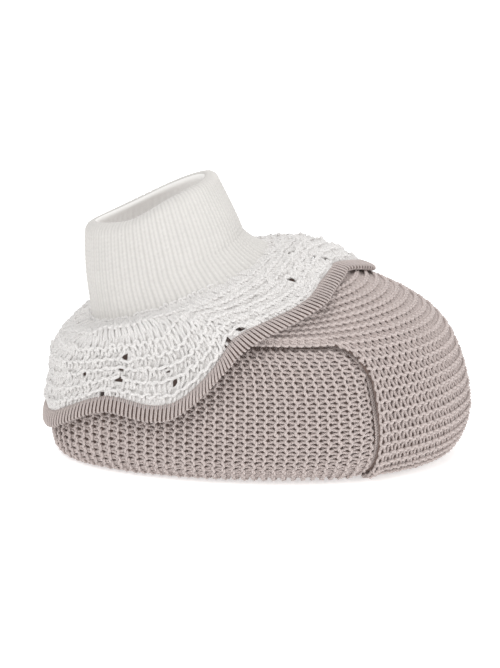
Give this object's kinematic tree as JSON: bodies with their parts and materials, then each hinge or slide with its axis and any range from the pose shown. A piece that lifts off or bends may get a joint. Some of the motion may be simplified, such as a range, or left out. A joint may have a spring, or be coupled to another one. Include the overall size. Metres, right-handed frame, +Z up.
{
  "type": "baby bootie",
  "caption": "Knitted baby bootie: garter-stitch shoe with a wrap-over toe cap, a turned-down lace ruffle with a contrast edge, and a doubled rib cuff.",
  "frame": {"origin": "bottom centre of the bounding box: on the floor, under the middle of the bootie", "axes": "+X from heel to toe, +Y to the wearer's left, +Z up; the sole lies on Z = 0"},
  "size_m": [0.1092, 0.058, 0.0723],
  "materials": {
    "taupe_knit": "soft matt knitted yarn, warm grey",
    "taupe_seam": "linked seam in the same yarn",
    "white_lace": "soft matt knitted lace, off-white",
    "white_rib": "fine one-by-one rib, warm white"
  },
  "bodies": {
    "shoe": {"sole": "taupe_knit", "sole_seam": "taupe_seam", "quarter_left": "taupe_knit", "quarter_right": "taupe_knit", "toe_cap": "taupe_knit", "heel_seam": "taupe_seam", "toe_cap_seam_left": "taupe_seam", "toe_cap_seam_right": "taupe_seam", "ankle_seam": "white_rib", "ruffle": "white_lace", "ruffle_border": "taupe_knit"},
    "cuff": {"cuff": "white_rib"}
  },
  "joints": [
    {"name": "cuff_lean", "type": "hinge", "parent": "shoe", "child": "cuff", "pos_m": [-0.01836, 0, 0.0425], "axis": [0, 1, 0], "range_deg": [-12, 15], "stiffness_Nm_per_rad": 0.02}
  ]
}
